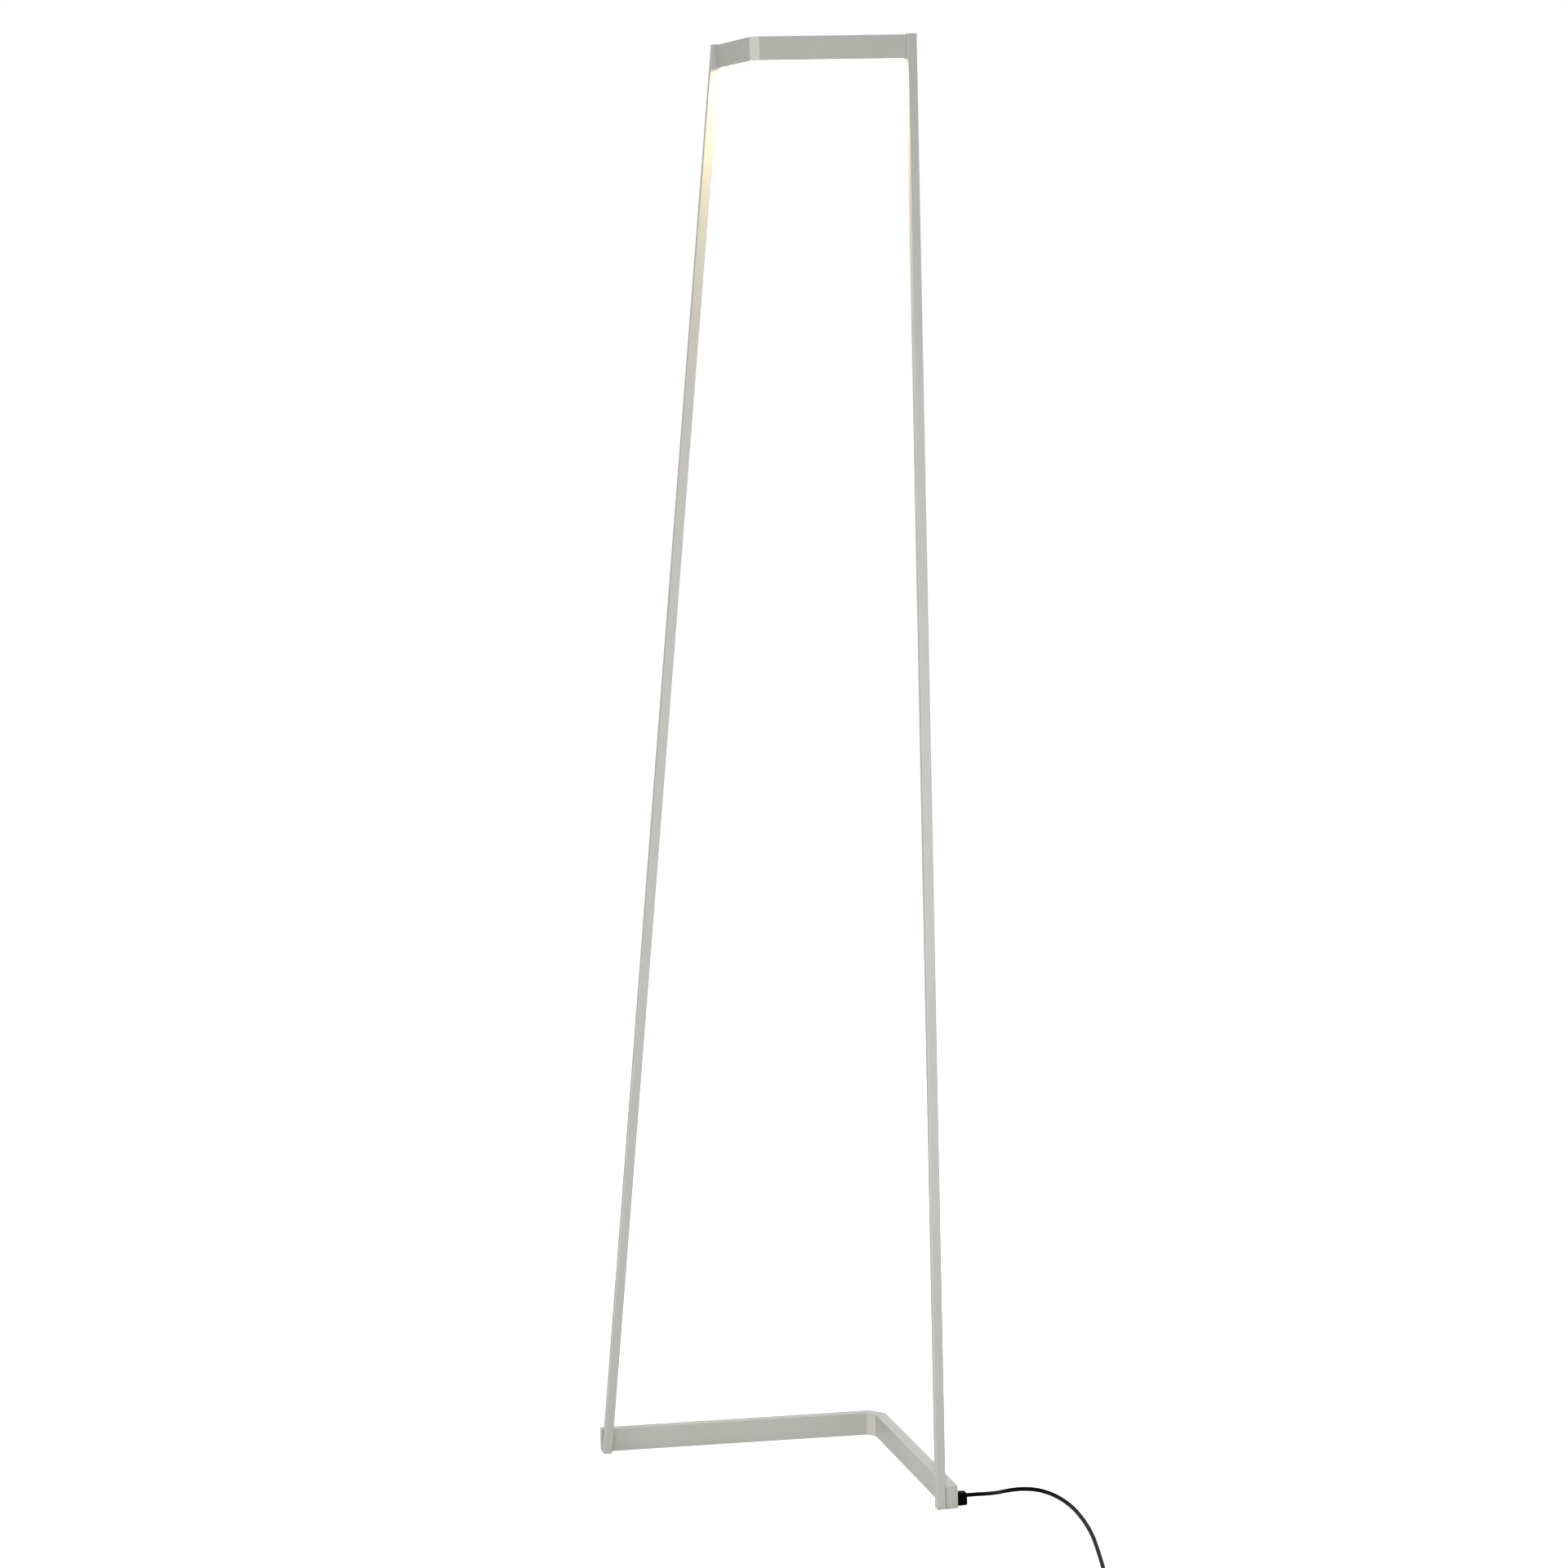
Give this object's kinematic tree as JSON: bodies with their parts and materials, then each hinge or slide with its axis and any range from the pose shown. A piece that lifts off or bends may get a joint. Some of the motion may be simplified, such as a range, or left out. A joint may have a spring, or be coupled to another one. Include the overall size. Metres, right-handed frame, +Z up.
{
  "type": "floor lamp",
  "caption": "Slim floor lamp: a low V base, leaning square uprights and a smaller reversed V with a light strip in its underside, with a mains cord, in-line switch and plug.",
  "frame": {"origin": "on the floor, in the middle of the lamp's outline without its cord", "axes": "+Z up, +Y towards the corner of the base, +X towards the arm that the cord leaves"},
  "size_m": [0.8982, 0.6482, 1.901],
  "materials": {
    "frame_paint": "matt warm grey paint",
    "plate_paint": "matt dark paint",
    "steel": "zinc plated",
    "ballast_iron": "raw, oiled",
    "pad_rubber": "matt",
    "foot_plastic": "moulded, grey as the paint",
    "carrier_aluminium": "mill finish",
    "board_white": "white solder mask",
    "chip_yellow": "phosphor, clear gel",
    "opal": "opal, satin",
    "driver_plastic": "moulded",
    "board_green": "green solder mask",
    "terminal_plastic": "moulded",
    "wire_plastic": "smooth sleeve",
    "grip_plastic": "fine matt",
    "cord_plastic": "smooth sleeve, satin",
    "tie_plastic": "matt",
    "switch_plastic": "fine matt",
    "button_plastic": "satin",
    "contact_plastic": "moulded",
    "pin_metal": "nickel plated"
  },
  "bodies": {
    "lamp": {"base_frame": "frame_paint", "base_end_cap_left": "frame_paint", "base_end_cap_right": "frame_paint", "upright_left": "frame_paint", "upright_right": "frame_paint", "top_frame": "frame_paint", "top_end_cap_left": "frame_paint", "top_end_cap_right": "frame_paint", "top_plug_left": "frame_paint", "top_plug_right": "frame_paint", "base_bottom_plate": "plate_paint", "base_joint_screws": "steel", "head_joint_screws": "steel", "base_plate_screws": "steel", "carrier_screws": "steel", "switch_screws": "steel", "foot_nut_plate_left": "steel", "foot_nut_plate_right": "steel", "head_nut_plate_left": "steel", "head_nut_plate_right": "steel", "switch_spring": "steel", "ballast_bar_left_long": "ballast_iron", "ballast_bar_left_short": "ballast_iron", "ballast_bar_right": "ballast_iron", "rest_pads": "pad_rubber", "foot_plug_left": "foot_plastic", "foot_plug_right": "foot_plastic", "light_carrier": "carrier_aluminium", "light_board_left": "board_white", "light_board_right": "board_white", "light_chips_left": "chip_yellow", "light_chips_right": "chip_yellow", "light_diffuser": "opal", "driver_tray": "driver_plastic", "driver_cover": "driver_plastic", "driver_board": "board_green", "terminal_block": "terminal_plastic", "mains_lead": "wire_plastic", "light_wire": "wire_plastic", "cord_grip": "grip_plastic", "cord_grip_nut": "grip_plastic", "cord_run": "cord_plastic", "cord_link": "cord_plastic", "cord_tail": "cord_plastic", "cord_coil": "cord_plastic", "coil_tie": "tie_plastic", "switch_lower_case": "switch_plastic", "switch_upper_case": "switch_plastic", "plug_body": "switch_plastic", "switch_contacts": "contact_plastic", "plug_pins": "pin_metal"},
    "button": {"switch_button": "button_plastic"}
  },
  "joints": [
    {"name": "switch_press", "type": "slide", "parent": "lamp", "child": "button", "axis": [0, 0, -1], "range_m": [0, 0.0022], "stiffness_N_per_m": 400, "springref_m": -0.002, "deforming": ["switch_spring"]}
  ]
}
